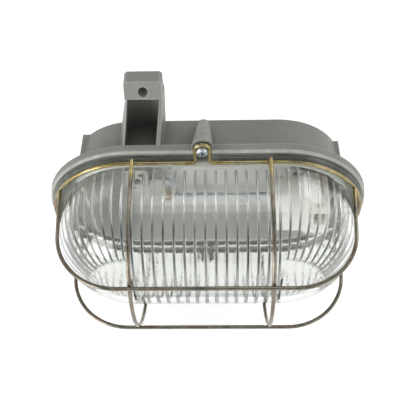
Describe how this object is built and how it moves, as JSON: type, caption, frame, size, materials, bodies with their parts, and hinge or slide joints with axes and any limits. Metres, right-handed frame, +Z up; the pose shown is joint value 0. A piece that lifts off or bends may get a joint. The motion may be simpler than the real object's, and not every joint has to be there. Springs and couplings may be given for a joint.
{
  "type": "damp-proof light",
  "caption": "Oval damp-proof bulkhead light: grey cast housing with wall lugs, fluted pressed glass bowl and a yellow passivated wire guard.",
  "frame": {"origin": "centre of the oval, on the wall face of the housing", "axes": "X runs along the long axis towards the plugged entry, Y points into the wall so the lamp looks towards -Y, Z points up"},
  "size_m": [0.216, 0.1213, 0.184],
  "materials": {
    "grey_painted_casting": "cast light alloy under grey paint, slightly rough, no fine machining",
    "pressed_glass": "thick clear pressed glass with parallel flutes inside",
    "passivated_wire": "round steel wire, zinc plated and yellow passivated",
    "zinc_screw": "zinc plated steel, satin",
    "zinc_sheet": "zinc plated sheet, satin",
    "white_porcelain": "white glazed porcelain",
    "brass": "plain brass, satin",
    "black_rubber": "soft black rubber, matt",
    "grey_plastic": "moulded grey plastic, matt",
    "brown_insulation": "smooth flexible insulation",
    "blue_insulation": "smooth flexible insulation"
  },
  "bodies": {
    "root": {"housing": "grey_painted_casting", "glass_gasket": "black_rubber", "glass_bowl": "pressed_glass", "guard_ring": "passivated_wire", "guard_hoop_upper": "passivated_wire", "guard_hoop_lower": "passivated_wire", "guard_hoop_left": "passivated_wire", "guard_hoop_right": "passivated_wire", "guard_screws": "zinc_screw", "lampholder_bracket": "zinc_sheet", "bracket_screws": "zinc_screw", "lampholder_body": "white_porcelain", "lampholder_screws": "zinc_screw", "lampholder_shell": "brass", "centre_contact": "brass", "lampholder_clamps": "brass", "clamp_screws": "brass", "terminal_block": "white_porcelain", "terminal_tubes": "brass", "terminal_screws": "brass", "block_screw": "zinc_screw", "earth_washer": "brass", "earth_screw": "brass", "cable_grommet": "black_rubber", "blanking_plug": "grey_plastic", "plug_washer": "black_rubber", "plug_nut": "grey_plastic", "lead_live": "brown_insulation", "lead_neutral": "blue_insulation"}
  },
  "joints": []
}
